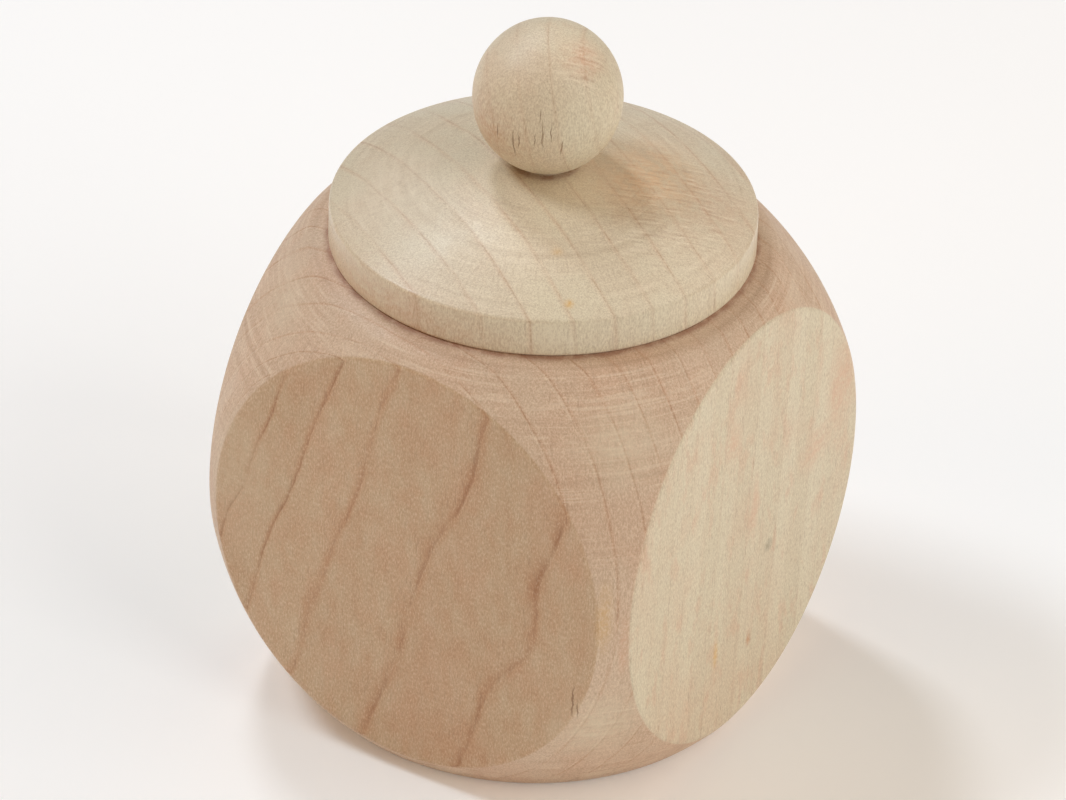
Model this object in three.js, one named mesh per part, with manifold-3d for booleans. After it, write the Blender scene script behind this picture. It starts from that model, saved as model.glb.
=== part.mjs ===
// A wooden jack in the box: a turned block with four sanded flats, a lift-off lid with a ball
// knob, and a sprung wooden head inside. Millimetres, +Z up, origin at the middle of the base.
// The block's flats face +X, -X, +Y and -Y, and the jack's nose points along -Y.

import * as THREE from "three";
import { mergeVertices } from "three/addons/utils/BufferGeometryUtils.js";
import Module from "manifold-3d";

const wasm = await Module();
wasm.setup();

// ---- Driving dimensions ----

const ACROSS_FLATS = 65; // the square stock that the block is turned from
const TURNED_RADIUS = 43.7; // the block's round outline, level with its middle
const TURNED_HALF_HEIGHT = 45.3; // the same outline, up and down its axis
const TURNED_CENTRE = 33.25; // height of that middle above the base
const SEAT_HEIGHT = 66.5; // the flat ring that the lid rests on
const SEAT_RADIUS = 27.6;
const CREST_RADIUS = 30.6; // where the ring's sloping edge meets the round outline
const BORE_RADIUS = 22.5;
const BORE_FLOOR = 8;

const LID_RADIUS = 28;
const LID_RIM = 5.3; // height of the lid's upright edge
const LID_RISE = 6.6; // height of its dome above that edge
const LID_FLAT_RADIUS = 3; // the small flat on top that the knob stands on
const SPIGOT_RADIUS = BORE_RADIUS - 0.25; // the plug under the lid, a push fit in the bore
const SPIGOT_LENGTH = 5.5;
const RECESS_RADIUS = 16.5; // the hollow in the plug that makes room for the head
const RECESS_DEPTH = 3.2;

const KNOB_RADIUS = 9.8;
const KNOB_HALF_HEIGHT = 10.3;
const KNOB_FLAT = 0.3; // how much of the ball is cut away where it stands on the lid

const DOWEL_RADIUS = 3;
const GLUE_GAP = 0.1; // round a glued dowel or peg, and past its ends
const KNOB_DOWEL_DEPTH = 8; // in the lid, and in the knob
const NECK_DEPTH_IN_COLLAR = 4;
const NECK_DEPTH_IN_HEAD = 8;

const BASE_DISC_RADIUS = 21.5;
const BASE_DISC_THICKNESS = 4;

const WIRE_RADIUS = 0.5;
const COIL_RADIUS = 13; // to the middle of the wire
const SPRING_HEIGHT = 16.5; // squeezed under the closed lid
const SPRING_GAP = 0.05; // between the end coils and the wood
const FLAT_TURNS = 0.75; // of each end coil, lying flat under the staples
const CLIMB_TURNS = 0.3; // over which the wire climbs clear of the staples
const CLIMB = 2.3;
const ACTIVE_TURNS = 6;

const STAPLES = 3; // at each end of the spring
const STAPLE_START = 0.08; // of a turn, from the wire's end to the first staple
const STAPLE_STEP = 0.3; // of a turn, from one staple to the next
const STAPLE_WIRE = 0.8;
const STAPLE_GAP = 0.2; // between a staple and the wire that it holds
const STAPLE_DEPTH = 2.6; // of its legs in the wood
const SLOT_GAP = 0.3; // round each leg

const COLLAR_RADIUS = 20;
const COLLAR_EDGE = 2.6; // height of its upright edge
const COLLAR_THICKNESS = 5.5;
const COLLAR_FLAT_RADIUS = 7;

const HEAD_RADIUS = 15;
const HEAD_FLAT = 0.5; // how much of the ball is cut away where it stands on the collar
const NOSE_RADIUS = 2.6;
const NOSE_FLAT_RADIUS = 1.9; // its flat back, against the head
const NOSE_GAP = 0.05;
const PEG_RADIUS = 1.2; // the nose's peg
const PEG_LENGTH = 4;

const SCREW_HEAD_RADIUS = 3.4;
const SCREW_RADIUS = 1.5;
const SCREW_LENGTH = 9;
const SCREW_SINK = 0.3; // of its head below the disc's top
const SCREW_GAP = 0.3; // all round it
const SCREW_TIP = 2; // length of its point
const THREAD_PITCH = 1.2;
const THREAD_DEPTH = 0.35;
const CROSS_LENGTH = 3.6; // the recess that drives it
const CROSS_WIDTH = 0.8;
const CROSS_DEPTH = 1;

// ---- Heights that follow from them ----

const BASE_DISC_TOP = BORE_FLOOR + BASE_DISC_THICKNESS;
const COLLAR_BOTTOM = BASE_DISC_TOP + SPRING_HEIGHT;
const LID_TOP = LID_RIM + LID_RISE; // above the seat
const KNOB_CENTRE = LID_TOP + KNOB_HALF_HEIGHT - KNOB_FLAT; // above the seat
const HEAD_CENTRE = COLLAR_THICKNESS + HEAD_RADIUS - HEAD_FLAT; // above the collar's underside
const SPRING_TURNS = 2 * (FLAT_TURNS + CLIMB_TURNS) + ACTIVE_TURNS;
const TURN = 2 * Math.PI;

// ---- Materials ----

function finish(color, roughness, metalness = 0) {
  return new THREE.MeshStandardMaterial({ color, roughness, metalness });
}

const blockWood = finish(0xcbb08c, 0.7);
const lidWood = finish(0xd4c09a, 0.65);
const jackWood = finish(0xd2b98f, 0.65);
const dowelWood = finish(0xc9a878, 0.7);
const springSteel = finish(0x9a9ca0, 0.3, 1);
const screwSteel = finish(0xb3ab8d, 0.35, 1);

// ---- Shape helpers ----

const FINE = 96; // facets round the block, the lid and the discs
const MEDIUM = 48; // round a ball
const COARSE = 24; // round a dowel, a peg or the screw

// A closed profile of [radius, height] points, turned about the Z axis.
function turned(profile, facets) {
  const points = profile.map(([radius, height]) => new THREE.Vector2(radius, height));
  return new THREE.LatheGeometry(points, facets).rotateX(Math.PI / 2);
}

// Points on the ellipse about [0, centre], from one height up to another, ends included.
function arc(radius, halfHeight, centre, from, to, steps) {
  const start = Math.asin((from - centre) / halfHeight);
  const end = Math.asin(Math.min(1, (to - centre) / halfHeight));
  const points = [];
  for (let i = 0; i <= steps; i++) {
    const angle = THREE.MathUtils.lerp(start, end, i / steps);
    points.push([radius * Math.cos(angle), centre + halfHeight * Math.sin(angle)]);
  }
  return points;
}

// A shallow dome that runs from [radius, foot] in to [flatRadius, top].
function dome(radius, foot, flatRadius, top, steps) {
  const centre = (top + foot - (radius ** 2 - flatRadius ** 2) / (top - foot)) / 2;
  const size = Math.hypot(radius, foot - centre);
  return arc(size, size, centre, foot, top, steps);
}

function rod(radius, bottom, top, facets = COARSE) {
  return turned([[0, bottom], [radius, bottom], [radius, top], [0, top]], facets);
}

// The cutter for a glued dowel's blind hole: from a face, up or down by depth.
function socket(face, depth) {
  const way = Math.sign(depth);
  const ends = [face - way, face + depth + way * GLUE_GAP];
  return rod(DOWEL_RADIUS + GLUE_GAP, Math.min(...ends), Math.max(...ends));
}

function solidOf(geometry) {
  const bare = geometry.clone().deleteAttribute("normal").deleteAttribute("uv");
  const merged = mergeVertices(bare, 1e-4);
  return new wasm.Manifold(
    new wasm.Mesh({
      numProp: 3,
      vertProperties: new Float32Array(merged.attributes.position.array),
      triVerts: new Uint32Array(merged.index.array),
    }),
  );
}

function geometryOf(solid) {
  const mesh = solid.getMesh();
  const geometry = new THREE.BufferGeometry();
  geometry.setAttribute("position", new THREE.BufferAttribute(mesh.vertProperties, 3));
  geometry.setIndex(new THREE.BufferAttribute(mesh.triVerts, 1));
  geometry.computeVertexNormals();
  return geometry;
}

function cut(geometry, cutters) {
  const left = cutters.reduce((solid, cutter) => solid.subtract(solidOf(cutter)), solidOf(geometry));
  return geometryOf(left);
}

// ---- The block ----

function block() {
  const crest = TURNED_CENTRE + TURNED_HALF_HEIGHT * Math.sqrt(1 - (CREST_RADIUS / TURNED_RADIUS) ** 2);
  const round = turned(
    [
      [0, 0],
      ...arc(TURNED_RADIUS, TURNED_HALF_HEIGHT, TURNED_CENTRE, 0, crest, 20),
      [SEAT_RADIUS, SEAT_HEIGHT],
      [BORE_RADIUS, SEAT_HEIGHT],
      [BORE_RADIUS, BORE_FLOOR],
      [0, BORE_FLOOR],
    ],
    FINE,
  );
  const stock = new THREE.BoxGeometry(ACROSS_FLATS, ACROSS_FLATS, 2 * SEAT_HEIGHT);
  const flatted = solidOf(round).intersect(solidOf(stock.translate(0, 0, SEAT_HEIGHT / 2)));
  const screwEnd = BASE_DISC_TOP - SCREW_SINK - SCREW_LENGTH;
  return cut(geometryOf(flatted), [rod(SCREW_RADIUS + SCREW_GAP, screwEnd - SCREW_GAP, BORE_FLOOR + 1)]);
}

// ---- The lid and its knob, with heights above the seat ----

function lid() {
  const recessTop = RECESS_DEPTH - SPIGOT_LENGTH;
  const profile = [
    [0, recessTop],
    [RECESS_RADIUS, recessTop],
    [RECESS_RADIUS, -SPIGOT_LENGTH],
    [SPIGOT_RADIUS, -SPIGOT_LENGTH],
    [SPIGOT_RADIUS, 0],
    [LID_RADIUS, 0],
    ...dome(LID_RADIUS, LID_RIM, LID_FLAT_RADIUS, LID_TOP, 10),
    [0, LID_TOP],
  ];
  return cut(turned(profile, FINE), [socket(LID_TOP, -KNOB_DOWEL_DEPTH)]);
}

function knob() {
  const bottom = LID_TOP - KNOB_CENTRE;
  const round = arc(KNOB_RADIUS, KNOB_HALF_HEIGHT, 0, bottom, KNOB_HALF_HEIGHT, 20);
  const ball = turned([[0, bottom], ...round], MEDIUM);
  return cut(ball, [socket(bottom, KNOB_DOWEL_DEPTH)]);
}

// ---- The spring ----

// Height of the wire's middle, after a number of turns, above the face that it starts from.
function wireHeight(turns) {
  const low = SPRING_GAP + WIRE_RADIUS;
  const half = SPRING_TURNS / 2;
  if (turns > half) return SPRING_HEIGHT - wireHeight(SPRING_TURNS - turns);
  const climbed = THREE.MathUtils.smoothstep(turns, FLAT_TURNS, FLAT_TURNS + CLIMB_TURNS);
  const active = Math.max(0, turns - FLAT_TURNS - CLIMB_TURNS);
  const pitch = (SPRING_HEIGHT / 2 - low - CLIMB) / (ACTIVE_TURNS / 2);
  return low + CLIMB * climbed + pitch * active;
}

class Wire extends THREE.Curve {
  getPoint(share, target = new THREE.Vector3()) {
    const turns = share * SPRING_TURNS;
    const angle = TURN * turns;
    return target.set(COIL_RADIUS * Math.cos(angle), COIL_RADIUS * Math.sin(angle), wireHeight(turns));
  }
}

function spring() {
  const sides = 8;
  const section = new THREE.Shape();
  for (let i = 0; i < sides; i++) {
    const angle = (TURN * i) / sides;
    const point = [WIRE_RADIUS * Math.cos(angle), WIRE_RADIUS * Math.sin(angle)];
    if (i === 0) section.moveTo(...point);
    else section.lineTo(...point);
  }
  return new THREE.ExtrudeGeometry(section, { steps: 190, bevelEnabled: false, extrudePath: new Wire() });
}

// ---- The staples that hold its end coils ----

// Each end's face, whether its staples hang from it, and the angle of the wire's end there.
const LOWER_END = { face: BASE_DISC_TOP, hangs: false, wireEnd: 0 };
const UPPER_END = { face: 0, hangs: true, wireEnd: -TURN * SPRING_TURNS };

// Carries a shape from the origin to staple i's place on one end of the spring.
function onCoil(geometry, i, { face, hangs, wireEnd }) {
  const angle = wireEnd + TURN * (STAPLE_START + i * STAPLE_STEP);
  geometry.translate(COIL_RADIUS, 0, 0).rotateZ(angle);
  if (hangs) geometry.rotateX(Math.PI);
  return geometry.translate(0, 0, face);
}

// A staple of square wire. It straddles the coil, with its legs down.
function staple() {
  const inner = WIRE_RADIUS + STAPLE_GAP;
  const outer = inner + STAPLE_WIRE;
  const under = SPRING_GAP + 2 * WIRE_RADIUS + STAPLE_GAP;
  const outline = [
    [-outer, -STAPLE_DEPTH],
    [-inner, -STAPLE_DEPTH],
    [-inner, under],
    [inner, under],
    [inner, -STAPLE_DEPTH],
    [outer, -STAPLE_DEPTH],
    [outer, under + STAPLE_WIRE],
    [-outer, under + STAPLE_WIRE],
  ];
  const shape = new THREE.Shape(outline.map(([x, y]) => new THREE.Vector2(x, y)));
  const bent = new THREE.ExtrudeGeometry(shape, { depth: STAPLE_WIRE, bevelEnabled: false });
  return bent.translate(0, 0, -STAPLE_WIRE / 2).rotateX(Math.PI / 2);
}

// The cutters for the slots that every staple at one end stands in.
function stapleSlots(end) {
  const width = STAPLE_WIRE + 2 * SLOT_GAP;
  const depth = STAPLE_DEPTH + SLOT_GAP;
  const offset = WIRE_RADIUS + STAPLE_GAP + STAPLE_WIRE / 2;
  const slots = [];
  for (let i = 0; i < STAPLES; i++) {
    for (const side of [-offset, offset]) {
      const slot = new THREE.BoxGeometry(width, width, 2 * depth);
      slots.push(onCoil(slot.translate(side, 0, 0), i, end));
    }
  }
  return slots;
}

// ---- The disc that the spring stands on, and its screw ----

function screwProfile(gap) {
  const neck = SCREW_HEAD_RADIUS - SCREW_RADIUS; // a 90 degree countersink
  return [
    [SCREW_RADIUS + gap, -neck],
    [SCREW_HEAD_RADIUS + gap, 0],
  ];
}

function springBase() {
  const headTop = BASE_DISC_TOP - SCREW_SINK;
  const [neck, rim] = screwProfile(SCREW_GAP);
  const countersink = turned(
    [
      [0, BORE_FLOOR - 1],
      [neck[0], BORE_FLOOR - 1],
      [neck[0], headTop + neck[1]],
      [rim[0], headTop],
      [rim[0], BASE_DISC_TOP + 1],
      [0, BASE_DISC_TOP + 1],
    ],
    COARSE,
  );
  const disc = rod(BASE_DISC_RADIUS, BORE_FLOOR, BASE_DISC_TOP, FINE);
  return cut(disc, [countersink, ...stapleSlots(LOWER_END)]);
}

// The screw's heights are measured from the top of its head.
function screw() {
  const threadTop = screwProfile(0)[0][1] - THREAD_PITCH / 2;
  const threadEnd = SCREW_TIP - SCREW_LENGTH;
  const ridges = [];
  for (let z = threadEnd; z < threadTop; z += THREAD_PITCH) {
    ridges.push([SCREW_RADIUS, z], [SCREW_RADIUS - THREAD_DEPTH, z + THREAD_PITCH / 2]);
  }
  const body = turned([[0, -SCREW_LENGTH], ...ridges, ...screwProfile(0), [0, 0]], COARSE);
  const bar = () => new THREE.BoxGeometry(CROSS_LENGTH, CROSS_WIDTH, 2 * CROSS_DEPTH);
  return cut(body, [bar(), bar().rotateZ(Math.PI / 2)]);
}

// ---- The jack, with heights above the collar's underside ----

function collar() {
  const profile = [
    [0, 0],
    [COLLAR_RADIUS, 0],
    ...dome(COLLAR_RADIUS, COLLAR_EDGE, COLLAR_FLAT_RADIUS, COLLAR_THICKNESS, 6),
    [0, COLLAR_THICKNESS],
  ];
  const neckHole = socket(COLLAR_THICKNESS, -NECK_DEPTH_IN_COLLAR);
  return cut(turned(profile, FINE), [neckHole, ...stapleSlots(UPPER_END)]);
}

function head() {
  const bottom = HEAD_FLAT - HEAD_RADIUS;
  const round = arc(HEAD_RADIUS, HEAD_RADIUS, 0, bottom, HEAD_RADIUS, 24);
  const ball = turned([[0, bottom], ...round], MEDIUM);
  const pegHole = rod(PEG_RADIUS + GLUE_GAP, HEAD_RADIUS - PEG_LENGTH - GLUE_GAP, HEAD_RADIUS + 1);
  return cut(ball, [socket(bottom, NECK_DEPTH_IN_HEAD), pegHole.rotateX(Math.PI / 2)]);
}

// A bead with a peg at its back, pointing along +Z from the head's surface.
function nose() {
  const centre = Math.sqrt(NOSE_RADIUS ** 2 - NOSE_FLAT_RADIUS ** 2);
  const profile = [
    [0, -PEG_LENGTH],
    [PEG_RADIUS, -PEG_LENGTH],
    [PEG_RADIUS, 0],
    ...arc(NOSE_RADIUS, NOSE_RADIUS, centre, 0, centre + NOSE_RADIUS, 10),
  ];
  return turned(profile, COARSE);
}

// ---- The assembly ----

const group = new THREE.Group();

function subgroup(height) {
  const child = new THREE.Group();
  child.position.z = height;
  group.add(child);
  return child;
}

function add(parent, name, geometry, material, height = 0) {
  const mesh = new THREE.Mesh(geometry, material);
  mesh.name = name;
  mesh.position.z = height;
  parent.add(mesh);
  return mesh;
}

function addStaples(parent, prefix, end) {
  for (let i = 0; i < STAPLES; i++) {
    add(parent, `${prefix}_${i + 1}`, onCoil(staple(), i, end), springSteel);
  }
}

add(group, "box_body", block(), blockWood);
add(group, "spring_base", springBase(), dowelWood);
add(group, "base_screw", screw(), screwSteel, BASE_DISC_TOP - SCREW_SINK);
add(group, "spring", spring(), springSteel, BASE_DISC_TOP);
addStaples(group, "base_staple", LOWER_END);

const lidGroup = subgroup(SEAT_HEIGHT);
const knobDowel = rod(DOWEL_RADIUS, -KNOB_DOWEL_DEPTH, KNOB_DOWEL_DEPTH);
add(lidGroup, "lid", lid(), lidWood);
add(lidGroup, "knob", knob(), lidWood, KNOB_CENTRE);
add(lidGroup, "knob_dowel", knobDowel, dowelWood, LID_TOP);

const jackGroup = subgroup(COLLAR_BOTTOM);
const neckDowel = rod(DOWEL_RADIUS, -NECK_DEPTH_IN_COLLAR, NECK_DEPTH_IN_HEAD);
add(jackGroup, "collar", collar(), jackWood);
addStaples(jackGroup, "collar_staple", UPPER_END);
add(jackGroup, "neck_dowel", neckDowel, dowelWood, COLLAR_THICKNESS);
add(jackGroup, "head", head(), jackWood, HEAD_CENTRE);
const noseMesh = add(jackGroup, "nose", nose(), jackWood, HEAD_CENTRE);
noseMesh.rotation.x = Math.PI / 2;
noseMesh.position.y = -(HEAD_RADIUS + NOSE_GAP);

export default group;
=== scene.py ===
"""The looks of a turned wooden jack in the box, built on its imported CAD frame.

Shapes are worked out in millimetres and stored in metres, +Z up.
"""

import math

import bmesh
import bpy
import numpy as np
from mathutils import Matrix, Vector


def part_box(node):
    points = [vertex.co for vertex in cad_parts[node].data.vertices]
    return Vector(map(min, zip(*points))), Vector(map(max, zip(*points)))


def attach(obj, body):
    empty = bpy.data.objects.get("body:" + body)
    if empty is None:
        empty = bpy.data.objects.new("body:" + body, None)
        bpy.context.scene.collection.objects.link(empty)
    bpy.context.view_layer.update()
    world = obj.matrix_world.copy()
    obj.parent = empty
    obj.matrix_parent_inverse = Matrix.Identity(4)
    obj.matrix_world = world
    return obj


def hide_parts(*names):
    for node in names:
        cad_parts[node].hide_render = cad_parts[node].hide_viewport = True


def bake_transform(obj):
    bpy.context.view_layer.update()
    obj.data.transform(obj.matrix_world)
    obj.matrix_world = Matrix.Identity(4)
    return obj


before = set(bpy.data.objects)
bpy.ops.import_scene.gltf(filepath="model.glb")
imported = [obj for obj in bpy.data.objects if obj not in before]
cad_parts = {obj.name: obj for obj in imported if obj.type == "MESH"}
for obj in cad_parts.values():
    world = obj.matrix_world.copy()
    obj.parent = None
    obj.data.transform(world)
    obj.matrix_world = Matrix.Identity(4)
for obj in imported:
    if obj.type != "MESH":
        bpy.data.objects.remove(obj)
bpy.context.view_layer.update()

MM = 0.001
TURN = 2 * math.pi


def cad_box(node):
    """The CAD node's lowest and highest corners, in millimetres."""
    low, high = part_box(node)
    return np.array(low) / MM, np.array(high) / MM


# ---- Sizes, in millimetres; round ones are radii ----

FLAT = cad_box("box_body")[1][0]  # from the axis to each flat
SEAT = cad_box("box_body")[1][2]  # height of the ring that the lid lies on
ROUND = 43.7  # the turned outline
ROUND_HEIGHT = 45.3  # and its half height
STRETCH = ROUND_HEIGHT / ROUND
MIDDLE = 33.25  # its centre's height
CREST = 30.6  # where the seat's sloping edge meets the outline
CREST_EASE = 0.65  # how far the sanding has rounded that edge
FOOT_EASE = 0.45  # the same at the base
FLAT_EASE = 0.45  # the same at the edge of each flat
SEAT_EDGE = 27.6
BORE = 22.5
BORE_FLOOR = 8.0

LID = cad_box("lid")[1][0]
LID_RIM = 5.3
LID_RISE = 6.6
LID_FLAT = 3.0
LID_TOP = SEAT + LID_RIM + LID_RISE
PLUG = 22.25
PLUG_LENGTH = 5.5
RECESS = 16.5
RECESS_DEPTH = 3.2

KNOB = 9.8
KNOB_HEIGHT = 10.3
HEAD = 15.0
NOSE = 2.6
NOSE_BACK = 1.9
PEG = 1.2
COLLAR = 20.0
COLLAR_EDGE = 2.6
COLLAR_FLAT = 7.0
COLLAR_FOOT = cad_box("collar")[0][2]
COLLAR_TOP = cad_box("collar")[1][2]
DOWEL_HOLE = 3.1
DISC_TOP = cad_box("spring_base")[1][2]
DISC_HOLE = 1.8
DISC_SINK = 3.7

WIRE = 0.5
COIL = 13.0
COIL_GAP = 0.05  # between the coil's ends and the wood
SPRING_HEIGHT = COLLAR_FOOT - DISC_TOP
FLAT_TURNS = 0.75
CLIMB_TURNS = 0.3
CLIMB = 2.3
ACTIVE_TURNS = 6
ALL_TURNS = 2 * (FLAT_TURNS + CLIMB_TURNS) + ACTIVE_TURNS
STAPLE_WIRE = 0.4
STAPLE_ROOM = 0.2  # between the coil and the staple's wire
STAPLE_BEND = 0.45
STAPLE_LEG = 2.6
STAPLE_START = 0.08  # turns from the wire's end to the first staple
STAPLE_STEP = 0.3  # and from each to the next

# ---- How finely shapes are divided ----

SAME = 0.002  # points this close, in millimetres, are one
AROUND = 192
SIDE_STEPS = 72
LEVEL_STEPS = 40
LID_STEPS = 40
COLLAR_STEPS = 24
BALL_STEPS = 90
NOSE_STEPS = 32
SPRING_STEPS = 388
SPRING_SIDES = 14
STAPLE_SIDES = 10

# ---- Points and meshes ----


def curve_between(first, corner, last, steps):
    """Points from first to last on a curve that heads for the corner."""
    shares = np.linspace(0, 1, steps + 1)
    return [(1 - t) ** 2 * first + 2 * t * (1 - t) * corner + t**2 * last for t in shares]


def rounded(corners, steps=5, spare=1.4):
    """A profile of [radius, height] points through corners of (radius, height, reach). The rounding of a
    corner takes reach of the sides on both hands. One more point beside it, spare reaches out, keeps
    each side flat."""
    points = []
    for i, (radius, height, reach) in enumerate(corners):
        corner = np.array([radius, height])
        if reach == 0:
            points.append(corner)
            continue
        ways = [np.array(corners[j][:2]) - corner for j in (i - 1, i + 1)]
        before, after = (way / np.linalg.norm(way) * reach for way in ways)
        points.append(corner + spare * before)
        points.extend(curve_between(corner + before, corner, corner + after, steps))
        points.append(corner + spare * after)
    return np.array(points)


def arc(radius, half_height, centre, start, end, steps):
    """Points on an ellipse about (0, centre), between two heights."""
    low, high = (math.asin(max(-1, min(1, (z - centre) / half_height))) for z in (start, end))
    angles = np.linspace(low, high, steps + 1)
    return np.column_stack([radius * np.cos(angles), centre + half_height * np.sin(angles)])


def dome(radius, foot, flat, top, steps):
    """Sharp corners on a circle from (radius, foot) in and up to (flat, top). The first two are left
    out, to make room for a rounded corner at the foot."""
    centre = (top + foot - (radius**2 - flat**2) / (top - foot)) / 2
    size = math.hypot(radius, foot - centre)
    return [(r, z, 0) for r, z in arc(size, size, centre, foot, top, steps)[2:]]


def ball(radius, half_height, foot, top):
    """A ball's profile, cut off level at its foot."""
    return np.concatenate([[[0, foot]], arc(radius, half_height, top - half_height, foot, top, BALL_STEPS)])


def spun(profile, angles=None):
    """Rows of points: each profile point turned about Z."""
    if angles is None:
        angles = np.linspace(0, TURN, AROUND + 1)
    radius, height = profile[:, 0, None], profile[:, 1, None]
    return np.stack([radius * np.cos(angles), radius * np.sin(angles), height + 0 * angles], axis=-1)


def tube(path, radius, sides):
    """Rows of points round a path, with its ends closed."""
    along = np.gradient(path, axis=0)
    along /= np.linalg.norm(along, axis=1, keepdims=True)
    up = np.where(np.abs(along[:, 2:]) > 0.9, [[1.0, 0, 0]], [[0, 0, 1.0]])
    side = np.cross(along, up)
    for i in range(1, len(side)):
        side[i] = side[i - 1] - (side[i - 1] @ along[i]) * along[i]
    side /= np.linalg.norm(side, axis=1, keepdims=True)
    other = np.cross(along, side)
    angles = np.linspace(0, TURN, sides + 1)[:, None, None]
    ring = path + radius * (np.cos(angles) * side + np.sin(angles) * other)
    rows = np.transpose(ring, (1, 0, 2))
    caps = [np.repeat(path[[end]], sides + 1, axis=0)[None] for end in (0, -1)]
    return np.concatenate([caps[0], rows, caps[1]])


def piece(name, patches, material, body, node):
    """A new piece made of patches, each rows of points in millimetres, in place of a CAD node."""
    build = bmesh.new()
    for rows in patches:
        grid = [[build.verts.new(Vector(p) * MM) for p in row] for row in rows]
        for a, b in zip(grid, grid[1:]):
            for i in range(len(a) - 1):
                build.faces.new((a[i], a[i + 1], b[i + 1], b[i]))
    bmesh.ops.remove_doubles(build, verts=build.verts, dist=SAME * MM)
    bmesh.ops.recalc_face_normals(build, faces=build.faces)
    mesh = bpy.data.meshes.new(name)
    build.to_mesh(mesh)
    build.free()
    mesh.polygons.foreach_set("use_smooth", [True] * len(mesh.polygons))
    mesh.materials.append(material)
    made = bpy.data.objects.new(name, mesh)
    bpy.context.scene.collection.objects.link(made)
    if body:
        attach(made, body)
    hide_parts(node)
    return made


# ---- Material nodes ----


def colour(code):
    """A hex colour as linear RGBA."""
    parts = [int(code[i : i + 2], 16) / 255 for i in (0, 2, 4)]
    linear = [p / 12.92 if p <= 0.04045 else ((p + 0.055) / 1.055) ** 2.4 for p in parts]
    return (*linear, 1)


class Graph:
    """One material's nodes, a short line each."""

    def __init__(self, name):
        self.material = bpy.data.materials.new(name)
        self.material.use_nodes = True
        self.tree = self.material.node_tree
        self.shader = self.tree.nodes["Principled BSDF"]
        self.coordinates = self.tree.nodes.new("ShaderNodeTexCoord")
        self.place = self.vector("SCALE", self.coordinates.outputs["Object"], scale=1 / MM)

    def put(self, socket, value):
        if isinstance(value, bpy.types.NodeSocket):
            self.tree.links.new(value, socket)
        else:
            socket.default_value = value

    def node(self, kind, inputs, **settings):
        node = self.tree.nodes.new("ShaderNode" + kind)
        for key, value in settings.items():
            setattr(node, key, value)
        for socket, value in inputs.items():
            self.put(node.inputs[socket], value)
        return node

    def math(self, operation, a, b=0.0):
        return self.node("Math", {0: a, 1: b}, operation=operation).outputs[0]

    def product(self, first, *others):
        for other in others:
            first = self.math("MULTIPLY", first, other)
        return first

    def vector(self, operation, a, b=(0, 0, 0), scale=1.0):
        inputs = {0: a, 1: b, "Scale": scale} if operation == "SCALE" else {0: a, 1: b}
        node = self.node("VectorMath", inputs, operation=operation)
        return node.outputs["Value" if operation in ("DOT_PRODUCT", "LENGTH") else "Vector"]

    def join(self, x=0.0, y=0.0, z=0.0):
        return self.node("CombineXYZ", {0: x, 1: y, 2: z}).outputs[0]

    def noise(self, per_mm, detail=2.0, roughness=0.5, where=None):
        """Noise from 0 to 1, with that many features to the millimetre along X, Y and Z."""
        scaled = self.vector("MULTIPLY", self.place if where is None else where, per_mm)
        inputs = {"Vector": scaled, "Scale": 1.0, "Detail": detail, "Roughness": roughness}
        return self.node("TexNoise", inputs).outputs[0]

    def step(self, value, low, high, to_low=0.0, to_high=1.0):
        """A smooth rise, or fall, between two values."""
        inputs = {0: value, 1: low, 2: high, 3: to_low, 4: to_high}
        return self.node("MapRange", inputs, interpolation_type="SMOOTHSTEP").outputs[0]

    def band(self, value, low, full, fading, high):
        """1 from full to fading, falling smoothly to 0 at low and at high."""
        return self.product(self.step(value, low, full), self.step(value, fading, high, 1.0, 0.0))

    def spot(self, centre, size, edge=0.0):
        """1 in the middle of an ellipsoid in millimetres. edge is the share of its size at which the
        fall to 0 begins."""
        away = self.vector("DIVIDE", self.vector("SUBTRACT", self.place, centre), size)
        return self.step(self.vector("LENGTH", away), edge, 1.0, 1.0, 0.0)

    def mix(self, factor, a, b):
        return self.node("Mix", {0: factor, 6: a, 7: b}, data_type="RGBA").outputs[2]

    def finish(self, shade, rough, height, depth):
        """Base colour, roughness, and a relief whose depth is in millimetres."""
        self.put(self.shader.inputs["Base Color"], shade)
        self.put(self.shader.inputs["Roughness"], rough)
        inputs = {"Strength": 1.0, "Distance": depth * MM, "Height": height}
        self.put(self.shader.inputs["Normal"], self.node("Bump", inputs).outputs[0])


# ---- Wood ----

SANDED = colour("dfd4b8")  # faces that the rings meet squarely
# the faces along the rings are the same wood as the others; their darker, warmer tone is painted shade
SHADED_FACE = colour("cfb290")  # faces that lie along the rings
TURNED = colour("dac1a6")
LID_TONE = colour("e2d7bb")
ORANGE = colour("bd7c4d")
BROWN = colour("8a6242")
RING = colour("9a6233")
CRACK = colour("7a5230")
ASH = colour("8c8069")
RUST = colour("8a4f33")
BLUSH = colour("d9a585")
CREAM = colour("f4e6cd")
YELLOW = colour("d9ab63")
APRICOT = colour("eec396")

# How the year rings waver: features to the millimetre along X, Y and Z, and how far they sway.
SWAYS = (((0.05, 0.05, 0.03), 0.9), ((0.17, 0.17, 0.1), 0.3), ((0.7, 0.7, 0.4), 0.05))
SCRATCH_WAY = (0.86, 0.5)  # which way scratches run, along X and Y


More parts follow.
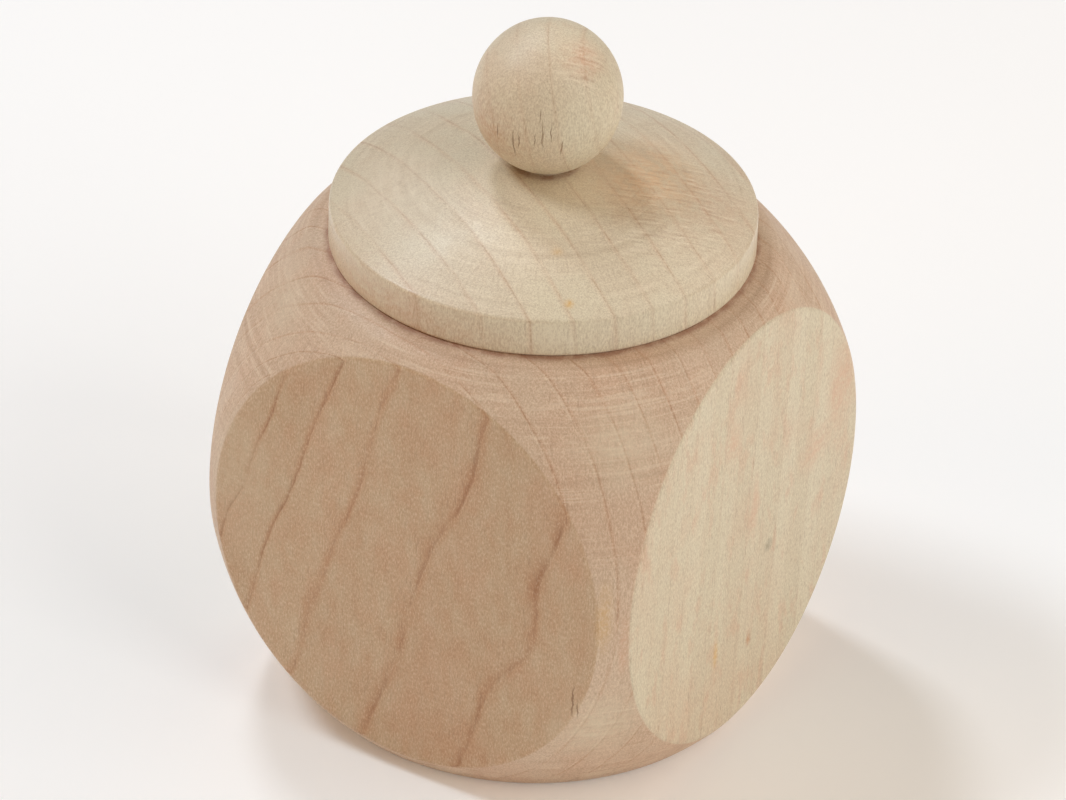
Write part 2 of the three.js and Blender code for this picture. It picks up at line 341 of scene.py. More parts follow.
class Wood(Graph):
    """Raw pale wood with its fibres along Z. Its layers are methods that add to the shade and the height
    which the ones before them left."""

    def __init__(self, name, tone, lathe, lines):
        """lathe and lines are how strongly the lathe's marks and the year lines show."""
        super().__init__(name)
        self.shade = tone
        self.height = 0.0
        self.turned = lathe
        self.lines = lines
        self.x, self.y, self.z = self.node("SeparateXYZ", {0: self.place}).outputs
        self.level = self.join(self.x, self.y)
        self.radius = self.vector("LENGTH", self.level)
        self.wisps = self.noise((4.8, 4.8, 1.9), detail=2.0, roughness=0.65)
        self.clouds = self.noise((0.55, 0.55, 0.9), detail=3.0, roughness=0.65)

    def tint(self, factor, added_colour):
        self.shade = self.mix(factor, self.shade, added_colour)

    def raise_by(self, amount):
        self.height = self.math("ADD", self.height, amount)

    def grow(self, across, rings, bends):
        """Works out age, how far through its year's growth a point is, from 0 to 1, and chance, a random
        number for the year."""
        across = np.array(across) / np.linalg.norm(across)
        place = self.vector("DOT_PRODUCT", self.place, tuple(across))
        for per_mm, sway in SWAYS:
            wave = self.math("SUBTRACT", self.noise(per_mm, detail=0.0), 0.5)
            place = self.math("ADD", place, self.product(wave, sway))
        for centre, size, shift in bends:
            place = self.math("ADD", place, self.product(self.spot(centre, size), shift))
        count = self.ring_count(place, rings)
        chance = self.node("TexWhiteNoise", {"W": self.math("FLOOR", count)}, noise_dimensions="1D")
        self.age, self.chance = self.math("FRACT", count), chance.outputs[0]

    def ring_count(self, place, rings):
        """How many of the rings lie before a place, with a share of one for the way between two."""
        first, last = rings[0], rings[-1]
        years = len(rings) - 1
        share = self.node("MapRange", {0: place, 1: first, 2: last}).outputs[0]
        counter = self.node("FloatCurve", {1: share})
        curve = counter.mapping.curves[0]
        for year, ring in enumerate(rings[1:-1], 1):
            curve.points.new((ring - first) / (last - first), year / years)
        for point in curve.points:
            point.handle_type = "VECTOR"
        counter.mapping.update()
        return self.product(counter.outputs[0], float(years))

    def sand_flats(self, distance):
        """Faces at that distance from the axis: the rings meet the X ones squarely, with nicks and a rosy
        tinge, and the Y ones lie along them, mottled, in a tone of their own made darker and warmer as
        painted shade."""
        sides = [self.math("ABSOLUTE", side) for side in (self.x, self.y)]
        x_face, y_face = (self.step(side, distance - 0.3, distance - 0.1) for side in sides)
        self.tint(x_face, SANDED)
        # painted shade: the faces along the rings take the darker, warmer tone
        self.tint(y_face, SHADED_FACE)
        unsanded = self.math("SUBTRACT", 1.0, self.math("MAXIMUM", x_face, y_face))
        self.turned = self.product(unsanded, self.turned)
        bolder = self.math("ADD", self.lines, self.product(y_face, 1.0 - self.lines))
        self.lines = self.math("SUBTRACT", bolder, self.product(x_face, 0.5))

        mottle = self.noise((0.5, 0.5, 0.25), detail=3.0, roughness=0.6)
        self.tint(self.product(self.step(mottle, 0.45, 0.7, 0.0, 0.2), y_face), ORANGE)
        self.tint(self.product(self.step(mottle, 0.3, 0.5, 0.22, 0.0), y_face), SANDED)
        nicks = self.noise((2.4, 2.4, 0.55), detail=2.0, roughness=0.6)
        self.tint(self.product(self.step(nicks, 0.56, 0.68, 0.0, 0.2), x_face), BROWN)
        rosy = self.noise((0.35, 0.35, 0.16), detail=3.0, roughness=0.65)
        self.tint(self.product(self.step(rosy, 0.52, 0.68, 0.0, 0.3), x_face), BLUSH)
        return y_face

    def tear(self):
        """Works out torn, where the lathe has torn the fibres: turned surfaces that face up or down."""
        normal = self.node("SeparateXYZ", {0: self.coordinates.outputs["Normal"]}).outputs
        sloping = self.step(self.math("ABSOLUTE", normal[2]), 0.05, 0.4)
        torn = self.step(self.noise((0.1, 0.1, 0.13), detail=2.0), 0.4, 0.6, 0.2, 1.0)
        self.torn = self.product(torn, self.turned, sloping)

    def redden(self, blush):
        """Rosy patches and blotches, torn places a little redder, and each year of its own depth."""
        patches = self.noise((0.09, 0.09, 0.05), detail=3.0, roughness=0.55)
        blotches = self.noise((0.2, 0.2, 0.14), detail=3.0, roughness=0.6)
        self.tint(self.product(self.step(patches, 0.4, 0.75), 0.24 * blush), BLUSH)
        self.tint(self.product(self.step(blotches, 0.5, 0.7), 0.13 * blush), BLUSH)
        self.tint(self.product(self.torn, 0.12), BLUSH)
        self.tint(self.product(self.chance, 0.07), BROWN)

    def year_lines(self, y_face):
        """A thin dark line at the end of each year, a warm glow about it and, where turned, a light line
        before it. On the faces along the rings the line has a soft shadow too."""
        faint = self.step(self.noise((0.25, 0.25, 0.12), detail=2.0), 0.36, 0.62, 0.1, 1.0)
        warm = self.step(self.noise((0.13, 0.13, 0.09), detail=2.0), 0.35, 0.68, 0.15, 1.0)
        before = self.product(self.step(self.age, 0.82, 0.97), warm)
        glow = self.math("MAXIMUM", before, self.step(self.age, 0.0, 0.07, 0.5, 0.0))
        self.tint(self.product(glow, self.lines, 0.42), ORANGE)
        light = self.band(self.age, 0.84, 0.9, 0.92, 0.95)
        self.tint(self.product(light, self.turned, faint, 0.25), CREAM)
        core = self.product(self.band(self.age, 0.945, 0.975, 0.985, 1.0), faint)
        core = self.product(core, self.step(self.chance, 0.0, 1.0, 0.5, 1.0))
        self.tint(self.product(core, self.lines, 0.5), RING)
        if y_face:
            shadow = self.product(self.band(self.age, 0.88, 0.965, 0.965, 1.0), faint)
            shadow = self.product(shadow, self.step(self.chance, 0.0, 1.0, 0.12, 0.28))
            self.tint(self.product(shadow, y_face), RING)

    def fibres(self):
        """Wisps, grit, long streaks and short dashes, that are darker or paler and stand up or lie low."""
        grit = self.noise((7.5, 7.5, 4.0), detail=1.0)
        long = self.noise((1.3, 1.3, 0.05), detail=3.0, roughness=0.6)
        dashes = self.step(self.noise((4.5, 4.5, 0.5), detail=1.0), 0.58, 0.7)
        dashes = self.product(dashes, self.step(self.age, 0.6, 0.95, 0.4, 1.0))
        self.tint(self.step(self.wisps, 0.4, 0.7, 0.0, 0.24), BROWN)
        self.tint(self.step(self.wisps, 0.3, 0.5, 0.26, 0.0), CREAM)
        self.tint(self.step(grit, 0.4, 0.7, 0.0, 0.12), BROWN)
        self.tint(self.step(long, 0.45, 0.75, 0.0, 0.05), BROWN)
        self.tint(self.product(dashes, 0.24), BROWN)
        self.raise_by(self.product(self.wisps, 0.5))
        self.raise_by(self.product(dashes, -0.25))
        self.raise_by(self.product(grit, 0.25))

    def lathe_marks(self):
        """Torn fibres that run out from the axis, rings that the lathe has cut, and light streaks that
        come and go along them."""
        way = self.vector("NORMALIZE", self.level)
        spokes = self.join(z=self.product(self.radius, 0.45))
        spokes = self.vector("ADD", self.vector("SCALE", way, scale=85.0), spokes)
        spokes = self.noise((1, 1, 1), 2.0, 0.6, spokes)
        cuts = self.noise((1.1, 1.1, 0), 4.0, 0.7, self.join(self.radius, self.z))
        lasting = self.join(z=self.math("SUBTRACT", self.radius, self.product(self.z, 0.8)))
        lasting = self.vector("ADD", self.vector("SCALE", way, scale=7.0), lasting)
        lasting = self.step(self.noise((1, 1, 1.3), 1.0, 0.5, lasting), 0.4, 0.6)
        streaks = self.product(self.band(cuts, 0.5, 0.58, 0.6, 0.68), lasting)
        self.tint(self.product(self.step(spokes, 0.5, 0.7), self.torn, 0.16), BROWN)
        self.tint(self.product(self.step(cuts, 0.35, 0.5, 1.0, 0.0), self.torn, 0.14), BROWN)
        self.tint(self.product(streaks, self.torn, 0.25), CREAM)
        self.raise_by(self.product(cuts, self.turned, 0.7))

    def mark(self, centre, size, added_colour, strength):
        """A cloudy patch of colour. Some are the wood's own stains and tones; others are painted shade,
        painted light and painted reflection.
        """
        spot = self.product(self.spot(centre, size), self.step(self.wisps, 0.3, 0.6, 0.6, 1.0))
        spot = self.product(spot, self.step(self.clouds, 0.35, 0.6, 0.5, 1.0))
        self.tint(self.product(spot, strength), added_colour)

    def scratches(self, centre, size):
        """A patch of fine level strokes, light and dark."""
        x, y = SCRATCH_WAY
        along = self.product(self.vector("DOT_PRODUCT", self.place, (x, y, 0)), 0.3)
        aside = self.product(self.vector("DOT_PRODUCT", self.place, (-y, x, 0.6)), 1.9)
        strokes = self.noise((1, 1, 1), 2.0, 0.6, self.join(along, aside))
        zone = self.product(self.spot(centre, size, 0.3), self.step(self.clouds, 0.3, 0.6, 0.2, 1.0))
        self.tint(self.product(self.step(strokes, 0.54, 0.64, 0.0, 0.42), zone), CREAM)
        self.tint(self.product(self.step(strokes, 0.36, 0.46, 0.2, 0.0), zone), RUST)
        self.raise_by(self.product(strokes, zone, 1.5))

    def crack(self, x, y, z, length, width):
        """A thin upright split that starts from the axis and shows at a point."""
        outward = Vector((x, y, 0)).normalized()
        wander = self.product(self.math("SUBTRACT", self.noise((0.8, 0.8, 0.8)), 0.5), 0.7)
        aside = self.vector("DOT_PRODUCT", self.place, (-outward.y, outward.x, 0))
        aside = self.math("DIVIDE", self.math("ADD", aside, wander), width)
        above = self.product(self.math("SUBTRACT", self.z, z), 2 / length)
        line = self.step(self.vector("LENGTH", self.join(aside, above)), 0.3, 1.0, 1.0, 0.0)
        out = self.vector("DOT_PRODUCT", self.place, tuple(outward))
        line = self.product(line, self.math("GREATER_THAN", out, 1.0))
        self.tint(self.product(line, 0.65), CRACK)
        self.raise_by(self.product(line, -0.7))

    def contact_shadow(self, radius, height):
        """A painted contact shadow: a dark ring where another piece rests on this one, at a radius and near
        the top of what it rests on.
        """
        ring = self.band(self.radius, radius - 0.9, radius - 0.3, radius + 0.1, radius + 0.9)
        shadowed = self.product(ring, self.step(self.z, height - 1.2, height - 0.5))
        shadowed = self.product(shadowed, self.step(self.clouds, 0.35, 0.6, 0.45, 1.0))
        self.tint(self.product(shadowed, 0.6), RUST)

    def polish(self, rough):
        """Roughness: the least that the wood has, and more on wisps, torn places and some years."""
        rough = self.step(self.wisps, 0.3, 0.7, rough, rough + 0.08)
        rough = self.math("ADD", rough, self.product(self.torn, 0.14))
        rough = self.math("ADD", rough, self.product(self.chance, 0.08))
        self.finish(self.shade, rough, self.height, depth=0.04)


def wood(
    name,
    across,
    rings,
    bends=(),
    tone=TURNED,
    flats=None,
    lathe=1.0,
    lines=0.7,
    blush=1.0,
    rough=0.42,
    stains_and_painted_light=(),
    scratched=None,
    cracks=(),
    contact_shadow=None,
):
    """A wood's material. across is the way that the growth rings follow each other in, rings are their
    places along it, and flats is how far out sanded faces are. All places are in millimetres."""
    made = Wood(name, tone, lathe, lines)
    made.grow(across, rings, bends)
    y_face = made.sand_flats(flats) if flats else None
    made.tear()
    made.redden(blush)
    made.year_lines(y_face)
    made.fibres()
    made.lathe_marks()
    for mark in stains_and_painted_light:
        made.mark(*mark)
    if scratched:
        made.scratches(*scratched)
    for crack in cracks:
        made.crack(*crack)
    if contact_shadow:
        made.contact_shadow(*contact_shadow)
    made.polish(rough)
    return made.material


def evenly(first, step, number):
    return [first + step * i for i in range(number)]


outer_rings = [-42.5, -41, -39.8, -38.6, -37.4, -35.8, -33.2, -30.2, -25.9, -22.1, -18.4]
block_wood = wood(
    "block wood",
    across=(0.193, 0.979, -0.059),
    rings=outer_rings + evenly(-14.6, 3.9, 15),
    bends=(((17, -32.5, 28.5), (16, 10, 13), -0.72), ((8, -32.5, 49), (14, 10, 14), -0.42)),
    flats=FLAT,
    stains_and_painted_light=(
        ((32.5, 6.5, 26.7), (1.5, 1.5, 1.5), ASH, 0.7),
        ((32.5, 2.3, 14), (1, 1, 1.8), ORANGE, 0.8),
        ((32.5, -6.5, 16.5), (1, 1, 3.5), YELLOW, 0.8),
        ((32.5, -4.6, 49), (3, 3.5, 5), BLUSH, 0.55),
        ((32.5, 17.5, 35.6), (3, 6, 4.5), BLUSH, 0.5),
        ((32.5, 2.2, 35), (1.5, 1.5, 8), BLUSH, 0.5),
        ((32.5, 24.5, 42), (3, 6, 12), BLUSH, 0.6),
        ((29.8, -31.8, 36), (1.4, 2.4, 8), YELLOW, 0.5),
        ((31.8, -29.8, 31), (1.1, 1.2, 8), BLUSH, 0.5),
        ((28, -29, 17), (9, 9, 10), SANDED, 0.6),
        ((-24, -24, 61), (10, 10, 9), SANDED, 0.3),
        ((27, -24, 58), (9, 9, 8), SANDED, 0.5),
        ((-26, -32.5, 38), (10, 3, 18), SANDED, 0.3),
        ((10, -32.5, 6), (16, 4, 7), ORANGE, 0.2),
    ),
    cracks=((26.1, -32.5, 22, 7, 0.16), (26.9, -32.5, 20.6, 4, 0.12)),
    # painted shadow: a dark line in the gap under the lid's edge
    contact_shadow=(LID, SEAT),
)
lid_wood = wood(
    "lid wood",
    across=(0.505, 0.86, 0.058),
    rings=evenly(-31, 5.15, 13),
    tone=LID_TONE,
    lathe=0.8,
    lines=0.5,
    blush=0.45,
    rough=0.25,
    stains_and_painted_light=(
        ((-16, -12, 75), (14, 14, 6), CREAM, 0.4),
        ((22, 8, 75), (12, 15, 6), BLUSH, 0.3),
        # painted reflected light: the knob's cast shadow made paler and more orange
        ((12, 7, 77), (11, 15, 6), APRICOT, 0.75),
        # painted shade: the shaded front left of the rim band made darker and warmer
        ((-8, -26, 68), (30, 18, 6), ORANGE, 0.42),
        ((10.6, -14.3, 75.9), (1.2, 1.2, 1.2), YELLOW, 0.45),
        ((16, -20, 73), (1, 1, 1.8), YELLOW, 0.9),
    ),
    scratched=((17, 4, 75.5), (15, 19, 9)),
    # painted contact shadow: a dark ring round the knob's foot
    contact_shadow=(LID_FLAT + 1, LID_TOP),
)
knob_wood = wood(
    "knob wood",
    across=(0.86, 0.47, 0.2),
    rings=evenly(-40.6, 4.3, 30),
    tone=LID_TONE,
    lathe=0.3,
    lines=0.4,
    stains_and_painted_light=(
        ((5.6, -1, 96.4), (5, 5, 4), BLUSH, 0.6),
        # painted light: the knob's lit upper left made paler and cooler
        ((-4, -6, 96), (7, 7, 5), CREAM, 0.15),
        # painted shade and painted reflection from the lid: the knob's lower front made darker and warmer
        ((-4, -9, 86), (12, 10, 9), ORANGE, 0.42),
    ),
    scratched=((6.4, -1.5, 95.5), (5.5, 6, 5.5)),
    cracks=(
        (0.8, -9.5, 86.3, 6, 0.16),
        (1.5, -9.5, 87.0, 3.4, 0.1),
        (3.6, -9.0, 87.6, 3, 0.1),
        (4.5, -8.7, 88.3, 5.6, 0.13),
        (5.5, -8.1, 88.6, 4, 0.12),
        (6.6, -7.2, 86.4, 3.4, 0.13),
        (4.1, -8.7, 91, 2.4, 0.1),
        (-1.7, -9.6, 87.4, 3, 0.12),
    ),
)
jack_wood = wood("jack wood", across=(0.35, 0.9, 0.12), rings=evenly(-45, 2.7, 40), tone=LID_TONE)
disc_wood = wood("disc wood", across=(0.9, 0.1, 0.1), rings=evenly(-30, 2.1, 32))
dowel_wood = wood("dowel wood", across=(0.6, 0.8, 0.0), rings=evenly(-20, 1.9, 60), lathe=0.0)

# ---- Metal ----


def metal(name, tint, added_colour, rough, grain):
    """Drawn or plated steel. grain is how many of its fine marks go to a millimetre each way."""
    steel = Graph(name)
    drawn = steel.noise(grain, detail=3.0, roughness=0.6)
    cloud = steel.noise((0.35, 0.35, 0.35), detail=3.0)
    shade = steel.mix(steel.step(cloud, 0.35, 0.75), colour(tint), colour(added_colour))
    steel.finish(shade, steel.step(drawn, 0.2, 0.8, rough, rough + 0.22), drawn, depth=0.02)
    steel.shader.inputs["Metallic"].default_value = 1.0
    return steel.material


spring_steel = metal("spring steel", "b9babd", "8f8b84", 0.22, (1.5, 1.5, 7.0))
staple_steel = metal("staple steel", "c2c1bd", "98938a", 0.3, (4.0, 4.0, 1.0))
screw_steel = metal("screw plating", "cdbd8a", "a8a196", 0.28, (3.0, 3.0, 3.0))

# ---- The block ----

# Its round surface is four sectors, one about each flat. Seen from the flat's middle a sector has an
# upright side on the right and the left, halfway to the next flat, and a level one above and below.


def outline_height(radius):
    return MIDDLE + ROUND_HEIGHT * math.sqrt(1 - (radius / ROUND) ** 2)


def outline_radius(height):
    return ROUND * math.sqrt(1 - ((height - MIDDLE) / ROUND_HEIGHT) ** 2)


def sector_sides(slopes):
    """Angles about the flat's middle to the points on each side: right, upper, left and lower. slopes
    are the tangents of the latitudes of the lower and the upper side."""
    low, high = (math.atan(slope * math.sqrt(2)) for slope in slopes)
    opposite = TURN / 2
    right = np.linspace(low, high, SIDE_STEPS, endpoint=False)
    upper = np.linspace(high, opposite - high, LEVEL_STEPS, endpoint=False)
    left = np.linspace(opposite - high, opposite - low, SIDE_STEPS, endpoint=False)
    lower = np.linspace(opposite - low, TURN + low, LEVEL_STEPS + 1)
    return right, upper, left, lower


def upright_reach(angles):
    """How far out a sector's upright side is, as the tangent of the angle at the block's middle."""
    return 1 / np.abs(np.cos(angles))


def level_reach(angles, slope):
    """The same for a level side."""
    return abs(slope) / np.sqrt(np.sin(angles) ** 2 - (slope * np.cos(angles)) ** 2)


def facing_x(distance, radius, angles):
    """Points at a distance along X and at a radius and angles about it, stretched like the block."""
    across, up = radius * np.cos(angles), radius * np.sin(angles)
    return np.stack([distance + 0 * angles, across, MIDDLE + up * STRETCH], axis=-1)


def sector(angles, reach):
    """Rows of points from the middle of the +X flat, over its softened edge and on to the sides."""
    edge = math.acos(FLAT / ROUND)
    rim = FLAT * math.tan(edge)
    ease = FLAT_EASE * (1 + 0.25 * np.sin(3 * angles + 0.7) + 0.15 * np.sin(7 * angles))
    start = edge + ease / ROUND

    def on_flat(radius):
        return facing_x(FLAT, radius, angles)

    def on_round(away):
        return facing_x(ROUND * np.cos(away), ROUND * np.sin(away), angles)

    rows = [on_flat((rim - 1.5 * ease) * share) for share in (0, 0.3, 0.6, 0.85, 1)]
    rows.extend(curve_between(on_flat(rim - ease), on_flat(rim), on_round(start), steps=6))
    for share in (0.06, 0.16, 0.28, 0.4, 0.52, 0.64, 0.76, 0.88, 1):
        rows.append(on_round(start + (np.arctan(reach) - start) * share))
    return np.array(rows)


def azimuths(side, slope):
    """Where the points of the four sectors' level sides lie round the block."""
    quarter = np.arctan(level_reach(side, slope) * np.cos(side))
    full = np.concatenate([quarter + k * TURN / 4 for k in range(4)])
    full = np.unique(np.round(full % TURN, 9))
    return np.append(full, full[0] + TURN)


def eased_turning(corners, angles):
    """A turned surface that goes on from the sectors at its first corner. Its second corner is rounded
    from there on, so that it needs no spare point before it."""
    return spun(np.delete(rounded(corners), 1, axis=0), angles)


def block_patches():
    """The sectors with the flats in them, then the top with its bore, then the base."""
    top = outline_height(CREST + CREST_EASE)
    crest = outline_height(CREST)
    slopes = [math.tan(math.asin((z - MIDDLE) / ROUND_HEIGHT)) for z in (FOOT_EASE, top)]
    right, upper, left, lower = sector_sides(slopes)
    angles = np.concatenate([right, upper, left, lower])
    upper_reach, lower_reach = level_reach(upper, slopes[1]), level_reach(lower, slopes[0])
    reach = np.concatenate([upright_reach(right), upper_reach, upright_reach(left), lower_reach])

    patches = [sector(angles, reach)]
    quarter = np.array([[0, -1, 0], [1, 0, 0], [0, 0, 1]], float)
    for _ in range(3):
        patches.append(patches[-1] @ quarter.T)
    crown = [
        (CREST + CREST_EASE, top, 0),
        (CREST, crest, math.hypot(CREST_EASE, crest - top)),
        (SEAT_EDGE, SEAT, 0.5),
        (BORE, SEAT, 0.3),
        (BORE, BORE_FLOOR, 0.6),
        (0, BORE_FLOOR, 0),
    ]
    sole = [(outline_radius(FOOT_EASE), FOOT_EASE, 0), (outline_radius(0), 0, 0.6), (0, 0, 0)]
    patches.append(eased_turning(crown, azimuths(upper, slopes[1])))
    patches.append(eased_turning(sole, azimuths(lower, slopes[0])))
    return patches


piece("block_turned", block_patches(), block_wood, "box", "box_body")

# ---- The lid and its knob ----

lid_profile = rounded(
    [
        (0, SEAT - PLUG_LENGTH + RECESS_DEPTH, 0),
        (RECESS, SEAT - PLUG_LENGTH + RECESS_DEPTH, 0.4),
        (RECESS, SEAT - PLUG_LENGTH, 0.4),
        (PLUG, SEAT - PLUG_LENGTH, 0.7),
        (PLUG, SEAT, 0.15),
        (LID, SEAT, 0.45),
        (LID, SEAT + LID_RIM, 0.45),
        *dome(LID, SEAT + LID_RIM, LID_FLAT, LID_TOP, LID_STEPS),
        (DOWEL_HOLE, LID_TOP, 0),
        (0, LID_TOP, 0),
    ]
)
piece("lid_turned", [spun(lid_profile)], lid_wood, "lid", "lid")

knob_foot, knob_top = cad_box("knob")[0][2], cad_box("knob")[1][2]
knob_profile = ball(KNOB, KNOB_HEIGHT, knob_foot, knob_top)
piece("knob_ball", [spun(knob_profile)], knob_wood, "lid", "knob")

# ---- The jack ----

collar_profile = rounded(
    [
        (0, COLLAR_FOOT, 0),
        (COLLAR, COLLAR_FOOT, 0.4),
        (COLLAR, COLLAR_FOOT + COLLAR_EDGE, 0.5),
        *dome(COLLAR, COLLAR_FOOT + COLLAR_EDGE, COLLAR_FLAT, COLLAR_TOP, COLLAR_STEPS),
        (0, COLLAR_TOP, 0),
    ]
)
piece("collar_disc", [spun(collar_profile)], jack_wood, "jack", "collar")

head_foot, head_top = cad_box("head")[0][2], cad_box("head")[1][2]
piece("head_ball", [spun(ball(HEAD, HEAD, head_foot, head_top))], jack_wood, "jack", "head")

nose_root, nose_tip = -cad_box("nose")[1][1], -cad_box("nose")[0][1]
nose_middle = nose_tip - NOSE
nose_back = nose_middle - math.sqrt(NOSE**2 - NOSE_BACK**2)
nose_bead = arc(NOSE, NOSE, nose_middle, nose_back, nose_tip, NOSE_STEPS)
nose_profile = np.concatenate([[[0, nose_root], [PEG, nose_root], [PEG, nose_back]], nose_bead])
to_front = np.array([[1, 0, 0], [0, 0, -1], [0, 1, 0]], float)
nose_rows = spun(nose_profile) @ to_front.T + [0, 0, head_top - HEAD]
piece("nose_bead", [nose_rows], jack_wood, "jack", "nose")

# ---- The disc under the spring ----

disc_foot, disc_edge = cad_box("spring_base")[0][2], cad_box("spring_base")[1][0]
disc_profile = rounded(
    [
        (DISC_HOLE, disc_foot, 0),
        (disc_edge, disc_foot, 0.4),
        (disc_edge, DISC_TOP, 0.5),
        (DISC_SINK, DISC_TOP, 0.12),
        (DISC_HOLE, DISC_TOP - DISC_SINK + DISC_HOLE, 0),
        (DISC_HOLE, disc_foot, 0),
    ]
)
piece("disc_turned", [spun(disc_profile)], disc_wood, "box", "spring_base")

# ---- The spring and its staples ----


def wire_height(turns):
    """How high the wire's middle is above the disc, that many turns from its lower end."""
    if turns > ALL_TURNS / 2:
        return SPRING_HEIGHT - wire_height(ALL_TURNS - turns)
    low = COIL_GAP + WIRE
    t = min(1, max(0, (turns - FLAT_TURNS) / CLIMB_TURNS))
    active = max(0, turns - FLAT_TURNS - CLIMB_TURNS)
    pitch = (SPRING_HEIGHT / 2 - low - CLIMB) / (ACTIVE_TURNS / 2)
    return low + CLIMB * t * t * (3 - 2 * t) + pitch * active


def spring_path():
    turns = np.linspace(0, ALL_TURNS, SPRING_STEPS + 1)
    heights = [DISC_TOP + wire_height(t) for t in turns]
    return np.column_stack([COIL * np.cos(TURN * turns), COIL * np.sin(TURN * turns), heights])


def nearest_wire(x, y, z):
    """The height of the wire's middle beside a point on its surface."""
    turns = math.atan2(y, x) / TURN + np.arange(-1, math.ceil(ALL_TURNS) + 1)
    turns = turns[(turns > -0.02) & (turns < ALL_TURNS + 0.02)].clip(0, ALL_TURNS)
    heights = np.array([DISC_TOP + wire_height(t) for t in turns])
    return heights[np.argmin(np.abs(heights - z))]


spring_rows = tube(spring_path(), WIRE, SPRING_SIDES)
spring = piece("spring_wire", [spring_rows], spring_steel, None, "spring")
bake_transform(spring)

# For each point of the wire, the height of the wire's middle beside it.
middles = np.array([nearest_wire(*(np.array(vertex.co) / MM)) for vertex in spring.data.vertices])


def staple_path():
    """A staple's middle line, standing on the origin with the coil passing through it along Y."""
    clear = STAPLE_ROOM + STAPLE_WIRE
    half, crown = WIRE + clear, COIL_GAP + 2 * WIRE + clear
    path = [[-half, 0, -STAPLE_LEG], [-half, 0, -STAPLE_LEG / 2]]
    for side in (-1, 1):
        for angle in np.linspace(0, math.pi / 2, 6)[::-side]:
            across = side * (half - STAPLE_BEND + STAPLE_BEND * math.cos(angle))
            path.append([across, 0, crown - STAPLE_BEND + STAPLE_BEND * math.sin(angle)])
    return np.array([*path, [half, 0, -STAPLE_LEG / 2], [half, 0, -STAPLE_LEG]])


def staples(prefix, body, face, hangs, wire_end):
    """Three staples over an end coil, on a wooden face at a height. wire_end is the angle that the
    wire ends at."""
    rows = tube(staple_path(), STAPLE_WIRE, STAPLE_SIDES)
    for i in range(3):
        angle = wire_end + TURN * (STAPLE_START + i * STAPLE_STEP)
        place = Matrix.Translation((0, 0, face)) @ Matrix.Rotation(math.pi if hangs else 0, 4, "X")
        place = place @ Matrix.Rotation(angle, 4, "Z") @ Matrix.Translation((COIL, 0, 0))
        placed = np.array([place @ Vector(p) for p in rows.reshape(-1, 3)]).reshape(rows.shape)
        node = f"{prefix}_{i + 1}"
        piece(node + "_wire", [placed], staple_steel, body, node)


staples("base_staple", "box", DISC_TOP, False, 0)
staples("collar_staple", "jack", COLLAR_FOOT, True, -TURN * ALL_TURNS)

# ---- CAD pieces that keep their own shape ----

for node, material in (("base_screw", screw_steel), ("neck_dowel", dowel_wood), ("knob_dowel", dowel_wood)):
    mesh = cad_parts[node].data
    mesh.materials.clear()
    mesh.materials.append(material)

# ---- Floor, light and camera, in metres ----

FLOOR_HALF = 4.0
LIGHT_DISTANCE = 0.9
LIGHT_AIM = (0, 0, 0.04)


def towards(azimuth, elevation):
    """The way from the object to a place at an azimuth, 0 at -Y and 90 at +X, and an elevation."""
    a, e = math.radians(azimuth), math.radians(elevation)
    return Vector((math.sin(a) * math.cos(e), -math.cos(a) * math.cos(e), math.sin(e)))


def floor():
    ground = Graph("pale floor")
    cloud = ground.noise((0.004, 0.004, 0.004), detail=3.0)
    shade = ground.mix(cloud, colour("fbfaf8"), colour("f6f5f3"))
    ground.put(ground.shader.inputs["Base Color"], shade)
    ground.shader.inputs["Roughness"].default_value = 0.9
    ground.shader.inputs["Emission Color"].default_value = (1, 1, 1, 1)
    ground.shader.inputs["Emission Strength"].default_value = 0.08
    mesh = bpy.data.meshes.new("floor")
    corners = [(x * FLOOR_HALF, y * FLOOR_HALF, 0) for x, y in ((-1, -1), (1, -1), (1, 1), (-1, 1))]
    mesh.from_pydata(corners, [], [(0, 1, 2, 3)])
    mesh.materials.append(ground.material)
    made = bpy.data.objects.new("floor", mesh)
    bpy.context.scene.collection.objects.link(made)


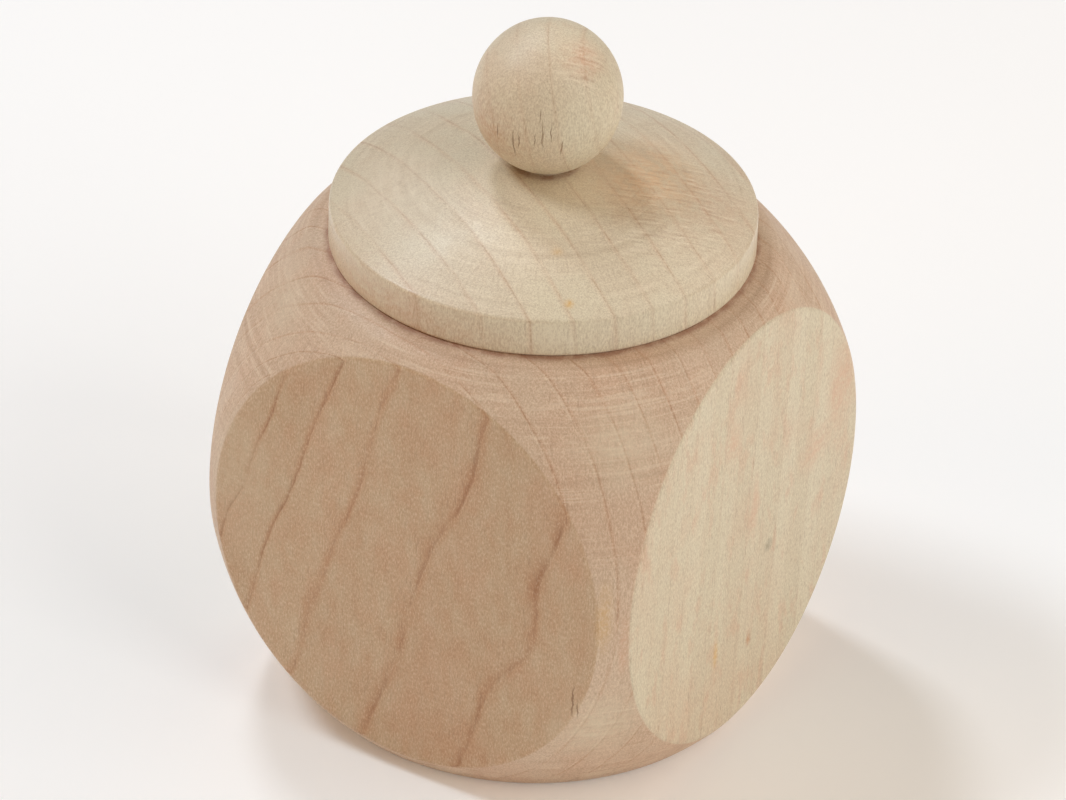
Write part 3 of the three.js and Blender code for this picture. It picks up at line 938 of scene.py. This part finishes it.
def softbox(name, azimuth, elevation, size, power, tint):
    """A square light that faces the object."""
    light = bpy.data.lights.new(name, "AREA")
    light.size, light.energy, light.color = size, power, tint
    away = towards(azimuth, elevation)
    made = bpy.data.objects.new(name, light)
    made.location = Vector(LIGHT_AIM) + away * LIGHT_DISTANCE
    made.rotation_euler = away.to_track_quat("Z", "Y").to_euler()
    bpy.context.scene.collection.objects.link(made)


def studio(tint, strength):
    """The faint even light from all round."""
    world = bpy.data.worlds.new("studio")
    world.use_nodes = True
    background = world.node_tree.nodes["Background"]
    background.inputs["Color"].default_value = tint
    background.inputs["Strength"].default_value = strength
    bpy.context.scene.world = world
    bpy.context.scene.view_settings.view_transform = "Standard"


def camera(azimuth, elevation, roll, distance, aim, lens):
    back = towards(azimuth, elevation)
    right = Vector((math.cos(math.radians(azimuth)), math.sin(math.radians(azimuth)), 0))
    up = back.cross(right)
    cos, sin = math.cos(math.radians(roll)), math.sin(math.radians(roll))
    place = Matrix((cos * right + sin * up, cos * up - sin * right, back)).transposed().to_4x4()
    place.translation = Vector(aim) + back * distance
    made = bpy.data.objects.new("camera", bpy.data.cameras.new("camera"))
    made.matrix_world = place
    made.data.sensor_width, made.data.lens = 36, lens
    made.data.clip_start, made.data.clip_end = 0.05, 20
    bpy.context.scene.collection.objects.link(made)
    bpy.context.scene.camera = made


floor()
softbox("softbox left", azimuth=290, elevation=54, size=0.22, power=2.75, tint=(0.9, 1.0, 1.11))
softbox("softbox back left", azimuth=240, elevation=57, size=0.15, power=1.9, tint=(0.94, 1.0, 1.09))
softbox("softbox front", azimuth=330, elevation=28, size=0.6, power=1.1, tint=(1.55, 1.0, 0.52))
softbox("softbox right", azimuth=84, elevation=30, size=0.7, power=3.75, tint=(1.04, 1.0, 0.94))
softbox("softbox back right", azimuth=140, elevation=40, size=0.6, power=1.7, tint=(1.18, 1.0, 0.84))
studio(tint=(0.98, 1, 1.01, 1), strength=0.11)
camera(azimuth=30.3, elevation=33.75, roll=2.14, distance=1.145, aim=(-0.0024, 0.0032, 0.0384), lens=291.2)
